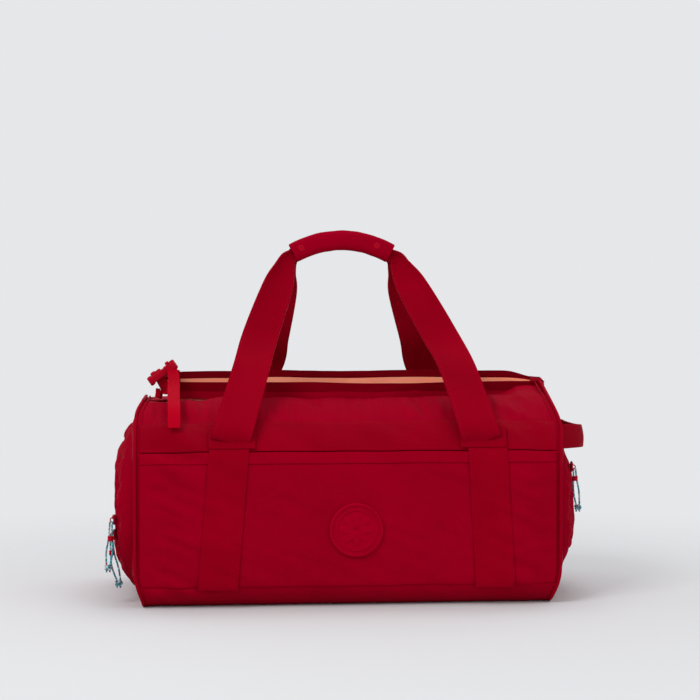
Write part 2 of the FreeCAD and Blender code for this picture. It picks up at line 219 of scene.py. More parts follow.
def start_material(name, rough, sheen, specular, tint=(1, 1, 1, 1)):
    """A new material with its wires and its shader."""
    material = bpy.data.materials.new(name)
    material.use_nodes = True
    shader = material.node_tree.nodes["Principled BSDF"]
    shader.inputs["Roughness"].default_value = rough
    shader.inputs["Sheen Weight"].default_value = sheen
    shader.inputs["Sheen Roughness"].default_value = 0.4
    shader.inputs["Sheen Tint"].default_value = (0.9, 0.02, 0.06, 1)
    shader.inputs["Specular IOR Level"].default_value = specular
    shader.inputs["Specular Tint"].default_value = tint
    return material, Wires(material.node_tree), shader


def bump(w, height, shader, strength, distance):
    node = w.add("ShaderNodeBump")
    node.inputs["Strength"].default_value = strength
    node.inputs["Distance"].default_value = distance
    w.join(height, node.inputs["Height"])
    w.join(node.outputs[0], shader.inputs["Normal"])


def crinkled_cloth(name, deep, lit, rough, crinkle=0.5):
    """Soft nylon: a fine weave, small dry crinkles, uneven tone in broad patches, and painted shade in the
    crinkles' creases with painted light on their ridges.
    """
    material, w, shader = start_material(name, rough, 0.0, 0.02, RED_SHINE)
    place = w.add("ShaderNodeTexCoord").outputs["Object"]
    tone_masks = finish_group(w.tree, TONE_AND_CRINKLE, Vector=place, Scale=9.0)
    turned = w.add("ShaderNodeMapping")
    turned.inputs["Rotation"].default_value = (0.62, 0.0, 0.0)
    w.join(place, turned.inputs["Vector"])
    weave = finish_group(w.tree, WEAVE, Vector=turned.outputs[0], Across=THREADS, Along=THREADS * 1.3)
    tint = w.maths("MULTIPLY_ADD", tone_masks.outputs["Patches"], 0.6, 0.12)
    # painted shade and light: the crinkle height that drives the bump also darkens the creases and lightens
    # the ridges in the colour
    tint = w.maths("ADD", tint, w.maths("MULTIPLY", tone_masks.outputs["Crinkle"], 0.35), clamp=True)
    w.join(w.blend(tint, deep, lit), shader.inputs["Base Color"])
    height = w.maths("ADD", w.maths("MULTIPLY", tone_masks.outputs["Crinkle"], crinkle),
                     w.maths("MULTIPLY", weave.outputs["Height"], 0.12))
    bump(w, height, shader, 0.55, 0.0012)
    w.join(w.maths("MULTIPLY_ADD", tone_masks.outputs["Crinkle"], 0.2, rough - 0.1), shader.inputs["Roughness"])
    return material


def ribbed_webbing(name, deep, lit, rough, ribs=26.0, stitched=True):
    """Webbing on its own UV: ribs along it, fine picks across it, and a row of stitches by each edge; the rib
    height also paints light onto the crests and shade into the grooves.
    """
    material, w, shader = start_material(name, rough, 0.0, 0.04, RED_SHINE)
    coords = w.add("ShaderNodeTexCoord")
    split = w.add("ShaderNodeSeparateXYZ")
    w.join(coords.outputs["UV"], split.inputs[0])
    across, along = split.outputs[0], split.outputs[1]
    rib = w.maths("SINE", w.maths("MULTIPLY", across, ribs * math.tau))
    pick = w.maths("SINE", w.maths("MULTIPLY", along, math.tau * 0.55 / MM))
    height = w.maths("ADD", w.maths("MULTIPLY", rib, 0.5),
                     w.maths("MULTIPLY", w.maths("MULTIPLY", rib, pick), 0.35))
    tone_masks = finish_group(w.tree, TONE_AND_CRINKLE, Vector=coords.outputs["Object"], Scale=14.0)
    # painted light and shade: the rib height lightens the crests and darkens the grooves in the colour; the
    # patches are uneven tone
    tint = w.maths("ADD", w.maths("MULTIPLY", tone_masks.outputs["Patches"], 0.7),
                   w.maths("MULTIPLY", height, 0.12), clamp=True)
    colour = w.blend(tint, deep, lit)
    if stitched:
        edge = w.maths("ABSOLUTE", w.maths("SUBTRACT", across, 0.5))
        row = w.maths("COMPARE", edge, 0.43, 0.014)
        dash = w.maths("GREATER_THAN", w.maths("FRACT", w.maths("MULTIPLY", along, 1 / STITCH_STEP)), 0.32)
        stitch = w.maths("MULTIPLY", row, dash)
        colour = w.blend(w.maths("MULTIPLY", stitch, 0.3), colour, paler(lit, 1.2))
        height = w.maths("ADD", height, w.maths("MULTIPLY", stitch, 1.0))
        height = w.maths("SUBTRACT", height, w.maths("MULTIPLY", row, 0.6))
    w.join(colour, shader.inputs["Base Color"])
    bump(w, height, shader, 0.5, 0.0005)
    return material


def smooth_lining(name, deep, lit):
    """Thin woven lining with shallow crinkles."""
    material, w, shader = start_material(name, 0.6, 0.15, 0.3)
    place = w.add("ShaderNodeTexCoord").outputs["Object"]
    tone_masks = finish_group(w.tree, TONE_AND_CRINKLE, Vector=place, Scale=16.0)
    w.join(w.blend(tone_masks.outputs["Patches"], deep, lit), shader.inputs["Base Color"])
    weave = finish_group(w.tree, WEAVE, Vector=place, Across=3000.0, Along=3000.0)
    height = w.maths("ADD", tone_masks.outputs["Crinkle"], w.maths("MULTIPLY", weave.outputs["Height"], 0.2))
    bump(w, height, shader, 0.4, 0.001)
    return material


def moulded_plastic(name, colour, rough, metal=0.0, grain=0.25, tint=(1, 0.25, 0.3, 1), gloss=0.3):
    """Hard or rubbery moulding with a slightly uneven colour and a fine grain."""
    material, w, shader = start_material(name, rough, 0.0, gloss, tint)
    shader.inputs["Metallic"].default_value = metal
    place = w.add("ShaderNodeTexCoord").outputs["Object"]
    tone_masks = finish_group(w.tree, TONE_AND_CRINKLE, Vector=place, Scale=60.0)
    w.join(w.blend(tone_masks.outputs["Patches"], colour, paler(colour, 1.35)), shader.inputs["Base Color"])
    w.join(w.maths("MULTIPLY_ADD", tone_masks.outputs["Crinkle"], 0.25, rough - 0.1), shader.inputs["Roughness"])
    bump(w, tone_masks.outputs["Crinkle"], shader, grain, 0.0002)
    return material


def flecked_cord(name):
    """Braid of teal strands with pale and red flecks, as small solid cells."""
    material, w, shader = start_material(name, 0.7, 0.2, 0.3)
    place = w.add("ShaderNodeTexCoord").outputs["Object"]
    cells = w.add("ShaderNodeTexVoronoi")
    cells.inputs["Scale"].default_value = 620.0
    w.join(place, cells.inputs["Vector"])
    pick = w.add("ShaderNodeSeparateXYZ")
    w.join(cells.outputs["Color"], pick.inputs[0])
    ramp = w.add("ShaderNodeValToRGB")
    ramp.color_ramp.interpolation = "CONSTANT"
    stops = ((0.0, (0.02, 0.2, 0.25, 1)), (0.42, (0.09, 0.42, 0.48, 1)), (0.66, (0.5, 0.58, 0.6, 1)),
             (0.84, (0.35, 0.01, 0.03, 1)), (0.93, (0.02, 0.1, 0.16, 1)))
    elements = ramp.color_ramp.elements
    for index, (position, colour) in enumerate(stops):
        element = elements[index] if index < 2 else elements.new(position)
        element.position = position
        element.color = colour
    w.join(pick.outputs[0], ramp.inputs[0])
    w.join(ramp.outputs[0], shader.inputs["Base Color"])
    bump(w, cells.outputs["Distance"], shader, 0.8, 0.0006)
    return material


BODY_CLOTH = crinkled_cloth("red_crinkled_nylon", (0.178, 0.0, 0.0068, 1), (0.352, 0.0, 0.0140, 1), 0.66)
POCKET_CLOTH = crinkled_cloth("red_pocket_nylon", (0.178, 0.0, 0.0066, 1), (0.345, 0.0, 0.0136, 1), 0.68, 0.4)
WEBBING = ribbed_webbing("red_ribbed_webbing", (0.200, 0.0, 0.0064, 1), (0.365, 0.0, 0.0124, 1), 0.62)
PANEL_WEBBING = ribbed_webbing("red_panel_webbing", (0.210, 0.0, 0.0068, 1), (0.410, 0.0, 0.0138, 1), 0.66,
                               stitched=False)
NARROW_WEBBING = ribbed_webbing("red_narrow_webbing", (0.33, 0.0, 0.009, 1), (0.52, 0.0005, 0.014, 1), 0.6,
                                ribs=9.0)
PIPING = crinkled_cloth("red_piping_cloth", (0.185, 0.0, 0.0062, 1), (0.34, 0.0, 0.0125, 1), 0.62, 0.2)
ZIP_TAPE = ribbed_webbing("red_zip_tape", (0.14, 0.0, 0.0045, 1), (0.26, 0.0, 0.009, 1), 0.64,
                          ribs=14.0, stitched=False)
LINING = smooth_lining("peach_lining", (0.98, 0.25, 0.125, 1), (1.0, 0.45, 0.29, 1))
PLASTIC = moulded_plastic("red_moulded_plastic", (0.30, 0.0, 0.010, 1), 0.42, gloss=0.16)
ZIP_METAL = moulded_plastic("red_lacquered_zip", (0.24, 0.0, 0.008, 1), 0.38, 0.15, 0.1)
BADGE_RUBBER = moulded_plastic("red_soft_badge", (0.275, 0.0, 0.0105, 1), 0.62, 0.0, 0.3, RED_SHINE, 0.06)
BOARD = moulded_plastic("dark_base_board", (0.03, 0.03, 0.035, 1), 0.6, tint=(1, 1, 1, 1))
CORD = flecked_cord("flecked_cord")


# ---- ways of making a piece

def deselect():
    if bpy.context.object and bpy.context.object.mode != "OBJECT":
        bpy.ops.object.mode_set(mode="OBJECT")
    bpy.ops.object.select_all(action="DESELECT")


def make_active(piece):
    deselect()
    piece.select_set(True)
    bpy.context.view_layer.objects.active = piece


def apply_modifier(piece, kind, **settings):
    make_active(piece)
    modifier = piece.modifiers.new(kind.lower(), kind)
    for key, value in settings.items():
        setattr(modifier, key, value)
    bpy.ops.object.modifier_apply(modifier=modifier.name)


def cloth_grid(name, columns, rows, place):
    """A grid primitive whose points are moved onto a surface; place takes two shares, 0 to 1."""
    deselect()
    bpy.ops.mesh.primitive_grid_add(x_subdivisions=columns, y_subdivisions=rows, size=1)
    piece = bpy.context.object
    piece.name = name
    for vertex in piece.data.vertices:
        vertex.co = place(vertex.co.x + 0.5, vertex.co.y + 0.5)
    return piece


def clean_normals(piece, merge=0.00005):
    make_active(piece)
    bpy.ops.object.mode_set(mode="EDIT")
    bpy.ops.mesh.select_all(action="SELECT")
    bpy.ops.mesh.remove_doubles(threshold=merge)
    bpy.ops.mesh.normals_make_consistent(inside=False)
    bpy.ops.object.mode_set(mode="OBJECT")


def thicken(piece, thick, offset=-1):
    """Cleans a sheet's normals and gives it a thickness."""
    clean_normals(piece)
    apply_modifier(piece, "SOLIDIFY", thickness=thick, offset=offset)


def finish_band(piece, length, thick, bevel, offset=1):
    """Makes a flat grid into webbing with rounded edges; length is along the UV's second direction."""
    scale_uv(piece, length)
    apply_modifier(piece, "SOLIDIFY", thickness=thick, offset=offset)
    clean_normals(piece)
    apply_modifier(piece, "BEVEL", width=bevel, segments=2, limit_method="ANGLE")
    return piece


def paint(piece, material):
    """The piece's only material."""
    piece.data.materials.clear()
    piece.data.materials.append(material)


def new_object(name, data):
    """A new object in the scene, holding a mesh, curve, lamp or camera."""
    piece = bpy.data.objects.new(name, data)
    bpy.context.scene.collection.objects.link(piece)
    return piece


def dress(piece, material, body, slot, *nodes, smooth=60, bend=None):
    """Gives a piece its material and smooth shading, and its body unless bend is given, when its transform is
    baked in instead; hides the CAD nodes it stands for.
    """
    paint(piece, material)
    make_active(piece)
    bpy.ops.object.shade_smooth_by_angle(angle=math.radians(smooth))
    if bend:
        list(bend)
        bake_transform(piece)
    else:
        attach(piece, body)
    if nodes:
        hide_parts(*nodes)
    return piece


def billow(piece, held, pressure, cap, frames=18):
    """Fills a cloth with air: the held vertices stay and the others move at most the cap."""
    rest = [vertex.co.copy() for vertex in piece.data.vertices]
    pins = piece.vertex_groups.new(name="held")
    pins.add([index for index, place in enumerate(rest) if held(place)], 1.0, "REPLACE")
    cloth = piece.modifiers.new("air", "CLOTH")
    cloth.settings.quality = 6
    cloth.settings.mass = 0.2
    cloth.settings.tension_stiffness = 12
    cloth.settings.compression_stiffness = 12
    cloth.settings.bending_stiffness = 0.15
    cloth.settings.shrink_min = -0.035
    cloth.settings.vertex_group_mass = "held"
    cloth.settings.use_pressure = True
    cloth.settings.uniform_pressure_force = pressure
    cloth.settings.effector_weights.gravity = 0
    cloth.collision_settings.use_collision = False
    for number in range(1, frames + 1):
        bpy.context.scene.frame_set(number)
    filled = piece.evaluated_get(bpy.context.evaluated_depsgraph_get())
    moved = [vertex.co.copy() for vertex in filled.data.vertices]
    piece.modifiers.remove(cloth)
    piece.vertex_groups.clear()
    bpy.context.scene.frame_set(1)
    for vertex, before, after in zip(piece.data.vertices, rest, moved):
        step = after - before
        if step.length > cap:
            step *= cap / step.length
        vertex.co = before + step
    piece.data.update()


def smooth_step(low, high, value):
    """0 before low, 1 after high, with a smooth rise between; low may be the larger."""
    share = min(1, max(0, (value - low) / (high - low)))
    return share * share * (3 - 2 * share)


def along_curve(points, share):
    """A point on a smooth curve through a few given points (any tuples of numbers)."""
    last = len(points) - 1
    place = share * last
    index = min(int(place), last - 1)
    t = place - index
    before = points[max(index - 1, 0)]
    after = points[min(index + 2, last)]
    result = []
    for a, b, c, d in zip(before, points[index], points[index + 1], after):
        result.append(0.5 * ((2 * b) + (c - a) * t + (2 * a - 5 * b + 4 * c - d) * t * t
                             + (3 * b - a - 3 * c + d) * t ** 3))
    return result


def strap(name, stations, thick, rows=60, columns=10):
    """Webbing through stations (x, y, z, width, turn, cup): turn leans the width in degrees about
    the strap's own line, starting from the X direction, and cup rolls its edges in."""
    length = sum((Vector(b[:3]) - Vector(a[:3])).length for a, b in zip(stations, stations[1:]))
    step = 1 / rows

    def place(u, v):
        x, y, z, wide, turn, cup = along_curve(stations, v)
        ahead = Vector(along_curve(stations, min(1, v + step))[:3])
        behind = Vector(along_curve(stations, max(0, v - step))[:3])
        line = (ahead - behind).normalized()
        across = Vector((1, 0, 0)) - line * line.x
        if across.length < 0.2:
            across = Vector((0, 1, 0)) - line * line.y
        across = Matrix.Rotation(math.radians(turn), 3, line) @ across.normalized()
        out = across.cross(line)
        off = (u - 0.5) * 2
        return Vector((x, y, z)) + across * (off * wide / 2) + out * (cup * off * off)

    piece = cloth_grid(name, columns, rows, place)
    scale_uv(piece, length)
    apply_modifier(piece, "SOLIDIFY", thickness=thick, offset=0)
    apply_modifier(piece, "BEVEL", width=thick * 0.3, segments=2, limit_method="ANGLE")
    return piece


def scale_uv(piece, length):
    """Makes the UV's second direction a length in metres, so patterns keep their size."""
    for loop in piece.data.uv_layers.active.data:
        loop.uv = (loop.uv.x, loop.uv.y * length)


def round_curve(name, points, radius, closed=False, along=8, around=3):
    """A round NURBS curve through given points, with its steps along and around."""
    curve = bpy.data.curves.new(name, "CURVE")
    curve.dimensions = "3D"
    spline = curve.splines.new("NURBS")
    spline.points.add(len(points) - 1)
    for point, co in zip(spline.points, points):
        point.co = (*co, 1)
    spline.order_u = 3
    spline.use_cyclic_u = closed
    spline.use_endpoint_u = not closed
    spline.resolution_u = along
    curve.bevel_depth = radius
    curve.bevel_resolution = around
    curve.use_fill_caps = not closed
    return new_object(name, curve)


def add_mesh_tube(name, points, radius, closed=False):
    """A round tube through given points, as a finished mesh."""
    make_active(round_curve(name, points, radius, closed))
    bpy.ops.object.convert(target="MESH")
    piece = bpy.context.object
    clean_normals(piece)
    return piece


def soft_noise(point, size, seed=0.0):
    return noise.noise(Vector(point) / size + Vector((seed, seed * 1.7, seed * 0.3)))


# ---- the shell

def mouth_opening(x):
    """Half the mouth's width at a place along it."""
    half = (MOUTH_RIGHT - MOUTH_LEFT) / 2
    away = min(1.0, abs(x - MOUTH_MIDDLE) / half)
    return MOUTH_HALF * (1 - away ** 2.6)


def section(share, x):
    """A point on the bag's section, from the base's middle (0) up to the mouth's rim (1), with the
    outward direction there; y is positive."""
    lengths = (BASE_HALF, CORNER * math.pi / 2, TOP_Z - SHOULDER - CORNER, SHOULDER * math.pi / 2,
               YOKE_HALF - mouth_opening(x))
    total = sum(lengths)
    place = share * total
    if place <= lengths[0]:
        return place, 0.0, (0, -1)
    place -= lengths[0]
    if place <= lengths[1]:
        angle = -math.pi / 2 + place / CORNER
        out = (math.cos(angle), math.sin(angle))
        return BASE_HALF + CORNER * out[0], CORNER + CORNER * out[1], out
    place -= lengths[1]
    if place <= lengths[2]:
        return SIDE_Y, CORNER + place, (1, 0)
    place -= lengths[2]
    if place <= lengths[3]:
        angle = place / SHOULDER
        out = (math.cos(angle), math.sin(angle))
        return YOKE_HALF + SHOULDER * out[0], TOP_Z - SHOULDER + SHOULDER * out[1], out
    place -= lengths[3]
    return YOKE_HALF - place, TOP_Z, (0, 1)


def cloth_rise(x, y, z, sign):
    """How far the stuffed cloth stands off its section: it swells between seams and wrinkles."""
    end = smooth_step(0, 0.05, SEAM_X - abs(x))
    low = smooth_step(0.0, 0.03, z)
    swell = 0.0045 * end * low * (1 - smooth_step(0.19, 0.25, z))
    slant = soft_noise((x * 0.8 + z * 0.9, 0, z * 0.25 - x * 0.2), 0.030, 3 + sign)
    loose = 0.6 + 1.2 * smooth_step(0.14, 0.24, abs(x))
    if sign < 0:
        loose += 0.9 * smooth_step(0.15, 0.21, -x)
    fold = 0.0030 * slant * end * low * loose
    fold += 0.0019 * soft_noise((x * 0.5 + z, 0, z * 0.4), 0.013, 33 + sign) * end * low * loose
    rim = smooth_step(0.247, TOP_Z, z)
    gather = 0.0036 * smooth_step(0.214, 0.236, z) * (1 - 0.75 * rim) * end
    gather *= soft_noise((x, y * 0.12, 0), 0.0085, 9 + sign)
    gather -= 0.0030 * math.exp(-((z - TOP_Z) / 0.006) ** 2) * smooth_step(0.06, 0.03, y)
    ends = 0.0042 * (1 - smooth_step(0.01, 0.07, SEAM_X - abs(x))) * end
    ends *= soft_noise((x * 0.3, 0, z), 0.012, 5)
    return swell + fold + gather + ends


def settled(point):
    """The slumped shape of the filled bag: its ends lean in at the top and round off at the base."""
    side = math.copysign(1, point.x)
    reach = min(1.0, (abs(point.x) / SEAM_X) ** 7)
    top = smooth_step(0.185, TOP_Z + 0.01, point.z)
    low = 1 - smooth_step(0.0, 0.055, point.z)
    inward = (0.013 * top ** 9 if side < 0 else RIGHT_SHIFT * top) + 0.010 * low * low
    if side > 0:
        inward -= 0.005 * math.exp(-((point.z - 0.218) / 0.024) ** 2)
    lift = 0.0025 * (1 - reach) * soft_noise((point.x, 0, 0), 0.11, 12) * smooth_step(0.2, TOP_Z, point.z)
    tent = 0.017 * smooth_step(0.150, 0.248, point.x) * math.exp(-(point.y / 0.042) ** 2)
    tent *= smooth_step(0.235, TOP_Z, point.z)
    drop = 0.004 if side < 0 else 0.001
    return Vector((point.x - side * reach * inward, point.y, point.z - drop * top * reach + lift + tent))


def shell_side(name, sign, *nodes):
    """Half of the shell, from the middle of the base up to the mouth."""
    def place(u, v):
        x = -SEAM_X + 2 * SEAM_X * u
        y, z, (out_y, out_z) = section(v, x)
        rise = cloth_rise(x, y, z, sign)
        return settled(Vector((x, sign * (y + out_y * rise), max(0.0, z + out_z * rise))))

    piece = cloth_grid(name, 190, 110, place)
    thicken(piece, SHELL_THICK)
    return dress(piece, BODY_CLOTH, "bag", "body_fabric", *nodes)


shell_side("front_cloth", -1, "front_panel", "base_panel")
shell_side("back_cloth", 1, "back_panel", "top_yoke")


# ---- ends, piping and end pockets

def end_half_width(z):
    """Half the end panel's width at a height."""
    if z < CORNER:
        return BASE_HALF + math.sqrt(max(0.0, CORNER ** 2 - (CORNER - z) ** 2))
    if z > TOP_Z - SHOULDER:
        rise = z - (TOP_Z - SHOULDER)
        return YOKE_HALF + math.sqrt(max(0.0, SHOULDER ** 2 - rise ** 2))
    return SIDE_Y


def end_cloth(side, name):
    """The flat end of the bag, a little swollen."""
    def place(u, v):
        z = TOP_Z * (0.5 - 0.5 * math.cos(math.pi * v))
        half = end_half_width(z)
        y = half * math.sin((u - 0.5) * math.pi)
        edge = min(half - abs(y), z, TOP_Z - z)
        swell = (0.012 if side > 0 else 0.006) * smooth_step(0, 0.045, edge)
        swell += 0.002 * smooth_step(0, 0.015, edge) * soft_noise((0, y, z), 0.022, 20 + side)
        return settled(Vector((side * (SEAM_X - 0.001 + swell), y, z)))

    piece = cloth_grid("end_cloth_" + name, 60, 60, place)
    thicken(piece, END_THICK)
    return dress(piece, BODY_CLOTH, "bag", "body_fabric", "end_panel_" + name)


def section_loop(x, proud):
    """Points round the bag's whole section at an end seam, standing a little proud of it."""
    points = []
    for sign in (-1, 1):
        side = []
        for index in range(LOOP_STEPS):
            y, z, (out_y, out_z) = section(index / (LOOP_STEPS - 1), SEAM_X)
            side.append(settled(Vector((x, sign * (y + out_y * proud), max(0.0022, z + out_z * proud)))))
        points += side[1:-1] if sign < 0 else list(reversed(side[1:-1]))
    return points


for name, side in END_BOTH:
    end_cloth(side, name)
    line = section_loop(side * (SEAM_X - 0.0005), 0.0012)
    tube = add_mesh_tube("piping_cord_" + name, line, 0.0021, True)
    dress(tube, PIPING, "bag", "piping", "piping_" + name)
    line = section_loop(side * (SEAM_X - 0.0075), 0.0002)
    tube = add_mesh_tube("piping_seam_" + name, line, 0.0011, True)
    dress(tube, PIPING, "bag", "piping")

def pocket_profile(v):
    """Radius and stand-off of an end pocket from its root (0), round the rim, to its middle (1)."""
    stations = [(0.1085, -0.001), (0.1070, 0.007), (0.1020, 0.0165), (0.0940, 0.0215), (0.0880, 0.0215),
                (0.0850, 0.0192), (0.0822, 0.0216), (0.0740, 0.0238), (0.0500, 0.0262), (0.0250, 0.0272),
                (0.0, 0.0275)]
    return along_curve(stations, v)


def pocket_press(z, out):
    """How far a pocket is flattened towards its top and its foot."""
    high = 0.0065 * smooth_step(0.045, 0.100, z - POCKET_CENTRE_Z)
    foot = 0.0100 * smooth_step(-0.035, -0.100, z - POCKET_CENTRE_Z)
    return (high + foot) * smooth_step(0.0, 0.012, out)


def end_pocket(side, name):
    """A round padded pocket on one end of the bag."""
    def place(u, v):
        radius, out = pocket_profile(v)
        radius = max(0.0, radius)
        angle = u * math.tau
        y, z = radius * math.cos(angle), POCKET_CENTRE_Z + radius * math.sin(angle)
        away = smooth_step(0.0, 0.05, radius)
        quiet = 1 - math.exp(-((radius - TRACK_RADIUS) / 0.004) ** 2)
        out += (0.006 if side > 0 else -0.008) * smooth_step(0.080, 0.030, radius)
        out += 0.0022 * away * quiet * soft_noise((y, z * 0.7, 0), 0.026, 31 + side)
        out += 0.0012 * quiet * away * soft_noise((y, z, 0), 0.010, 44 + side)
        out -= pocket_press(z, out)
        sag = 0.004 * smooth_step(0.02, -0.09, z - POCKET_CENTRE_Z) * smooth_step(0.0, 0.012, out)
        return settled(Vector((side * (SEAM_X + out + sag * 0.5), y, max(0.002, z - sag * 0.4))))

    def held(point):
        radius = math.hypot(point.y, point.z - POCKET_CENTRE_Z)
        return radius > 0.1035 or abs(radius - TRACK_RADIUS) < 0.0035

    piece = cloth_grid("end_pocket_" + name, 150, 60, place)
    clean_normals(piece, 0.0002)
    billow(piece, held, 3.0, 0.0030)
    nodes = (name + "_pocket_gusset", name + "_pocket_face")
    return dress(piece, POCKET_CLOTH, "bag", "body_fabric", *nodes)


TOOTH_CORNERS = ((-1, -1, 0), (1, -1, 0), (1, 1, 0), (-1, 1, 0),
                 (-0.6, -0.8, 1), (0.6, -0.8, 1), (0.6, 0.8, 1), (-0.6, 0.8, 1))
TOOTH_SIDES = ((3, 2, 1, 0), (4, 5, 6, 7), (0, 1, 5, 4), (1, 2, 6, 5), (2, 3, 7, 6), (3, 0, 4, 7))


def coil_teeth(name, places, length, wide, high):
    """Small tapered teeth across a zip: places are (point, along, across, up) frames."""
    mesh = bpy.data.meshes.new(name)
    build = bmesh.new()
    for point, along, across, up in places:
        ring = []
        for a, b, c in TOOTH_CORNERS:
            corner = point + along * (a * length / 2) + across * (b * wide / 2) + up * (c * high)
            ring.append(build.verts.new(corner))
        for quad in TOOTH_SIDES:
            build.faces.new([ring[index] for index in quad])
    bmesh.ops.recalc_face_normals(build, faces=build.faces)
    build.to_mesh(mesh)
    build.free()
    return new_object(name, mesh)


def pocket_zip(side, name):
    """The zip round the pocket's rim, open at the bottom: a tape with a row of teeth."""
    start, end = math.radians(-55), math.radians(235)
    x = SEAM_X + ZIP_STAND

    def place(u, v):
        angle = start + (end - start) * v
        radius = TRACK_RADIUS + (u - 0.5) * 0.007
        z = POCKET_CENTRE_Z + radius * math.sin(angle)
        return settled(Vector((side * (x + 0.0012 - pocket_press(z, 0.02)), radius * math.cos(angle), z)))

    tape = cloth_grid("pocket_zip_tape_" + name, 6, 160, place)
    scale_uv(tape, TRACK_RADIUS * (end - start))
    apply_modifier(tape, "SOLIDIFY", thickness=0.0010, offset=0)
    dress(tape, ZIP_TAPE, "bag", "zip_tape", name + "_pocket_zip")
    frames = []
    for index in range(ZIP_TEETH):
        angle = start + (end - start) * (index + 0.5) / ZIP_TEETH
        radial = Vector((0, math.cos(angle), math.sin(angle)))
        press = pocket_press(POCKET_CENTRE_Z + radial.z * TRACK_RADIUS, 0.02)
        point = settled(Vector((side * (x + 0.0016 - press), 0, POCKET_CENTRE_Z)) + radial * TRACK_RADIUS)
        frames.append((point, Vector((0, -radial.z, radial.y)), radial, Vector((side, 0, 0))))
    teeth = coil_teeth("pocket_zip_teeth_" + name, frames, 0.0012, 0.0036, 0.0011)
    dress(teeth, ZIP_METAL, "bag", "zip_tape", smooth=30)


for name, side in END_BOTH:
    end_pocket(side, name)
    pocket_zip(side, name)


# ---- front pocket, belts and straps on the panels

def front_surface(x, z, lift, sign=-1):
    """A point standing off the front or back cloth at a height."""
    if z > TOP_Z - SHOULDER:
        angle = math.asin(min(1, (z - (TOP_Z - SHOULDER)) / SHOULDER))
        y, out_y, out_z = YOKE_HALF + SHOULDER * math.cos(angle), math.cos(angle), math.sin(angle)
    elif z < CORNER:
        angle = math.asin(max(-1, (z - CORNER) / CORNER))
        y, out_y, out_z = BASE_HALF + CORNER * math.cos(angle), math.cos(angle), math.sin(angle)
    else:
        y, out_y, out_z = SIDE_Y, 1, 0
    rise = cloth_rise(x, y, z, sign) + lift
    return settled(Vector((x, sign * (y + out_y * rise), z + out_z * rise)))


def panel_band(name, low, high, lift, rows, material, slot, node, sign=-1, puff=0.0):
    """A band of cloth or webbing lying along the whole front or back."""
    reach = SEAM_X - 0.006

    def place(u, v):
        x = -reach + 2 * reach * v
        z = low + (high - low) * u
        soft = puff * math.sin(math.pi * u) ** 0.5 if 0 < u < 1 else 0
        wave = 0.0006 * soft_noise((x, 0, z), 0.02, 60 + sign)
        return front_surface(x, z + 0.0008 * soft_noise((x, 0, 0), 0.06, 70), lift + soft + wave, sign)

    piece = finish_band(cloth_grid(name, rows, 180, place), 2 * reach, BAND_THICK, BAND_THICK * 0.35)
    return dress(piece, material, "bag", slot, node)


panel_band("slip_pocket_cloth", POCKET_LOW - 0.003, HEM_LOW + 0.004, 0.0016, 46, POCKET_CLOTH,
           "body_fabric", "front_slip_pocket", puff=0.0014)
panel_band("slip_pocket_hem", HEM_LOW + 0.003, HEM_LOW + 0.0155, 0.0030, 8, PIPING,
           "body_fabric", "pocket_hem")
for name, sign in PANEL_BOTH:
    panel_band("belt_webbing_" + name, BELT_LOW, BELT_HIGH, 0.0022, 10, WEBBING,
               "webbing", "belt_" + name, sign)


def panel_strap(name, place_x, foot_x, sign):
    """Webbing sewn down the panel from the belt to the base seam."""
    def place(u, v):
        z = 0.024 + (BELT_LOW - 0.024 + 0.004) * v
        x = foot_x + (place_x - foot_x) * v + (u - 0.5) * 0.048
        return front_surface(x, z, 0.0030 + 0.0004 * soft_noise((x, 0, z), 0.03, 80), sign)

    return finish_band(cloth_grid(name, 10, 60, place), BELT_LOW, 0.0014, 0.0004)


def belt_tab(name, place_x, sign):
    """The wide tab that covers a handle's foot on the belt."""
    def place(u, v):
        z = BELT_LOW + 0.002 + 0.024 * u
        return front_surface(place_x + (v - 0.5) * 0.056, z, 0.0060, sign)

    return finish_band(cloth_grid(name, 8, 12, place), 0.058, 0.0016, 0.0004)


def join_pieces(name, pieces):
    """Several pieces joined into one, under one name."""
    deselect()
    for piece in pieces:
        piece.select_set(True)
    bpy.context.view_layer.objects.active = pieces[0]
    bpy.ops.object.join()
    bpy.context.object.name = name
    return bpy.context.object


for name, sign in PANEL_BOTH:
    straps = [panel_strap("strap", LEFT_STRAP, LEFT_STRAP - 0.0140, sign),
              panel_strap("strap", RIGHT_STRAP, RIGHT_STRAP + 0.0090, sign)]
    piece = join_pieces("panel_webbing_" + name, straps)
    dress(piece, PANEL_WEBBING, "bag", "webbing", "panel_straps_" + name)
    tabs = [belt_tab("tab", place, sign) for place in (LEFT_STRAP + 0.003, RIGHT_STRAP - 0.005)]
    piece = join_pieces("belt_tab_webbing_" + name, tabs)
    dress(piece, WEBBING, "bag", "body_fabric", "belt_tabs_" + name)


# ---- mouth

def lip_cloth(name, sign, low, high, inset, material, slot, node, wave, thick=WEBBING_THICK):
    """A strip of cloth standing on the mouth's rim, waving along its length."""
    half = (MOUTH_RIGHT - MOUTH_LEFT) / 2
    seed = 1 if sign < 0 else 2

    def place(u, v):
        x = MOUTH_MIDDLE + half * (2 * v - 1) * 0.995
        y = max(0.0015, mouth_opening(x) - inset)
        wide = min(1, 4 * v, 4 * (1 - v))
        ripple = soft_noise((x, 0, 0), 0.05, seed) + 0.4 * soft_noise((x, 0, u * 0.02), 0.018, seed + 3)
        sway = wave * wide * ripple * u
        rise = 0.0022 * wide * soft_noise((x, 0, 0), 0.07, seed + 7)
        corner = smooth_step(MOUTH_RIGHT - 0.050, MOUTH_RIGHT, x)
        top = high - max(0.0, high - CORNER_TOP) * corner ** 1.5
        curl = 0.006 * corner * corner * u
        return Vector((x + curl, sign * y + sway, low + (top - low) * u + rise * u))

    piece = cloth_grid(name, 8, 150, place)
    scale_uv(piece, 2 * half)
    apply_modifier(piece, "SOLIDIFY", thickness=thick, offset=0)
    clean_normals(piece)
    return dress(piece, material, "bag", slot, node)


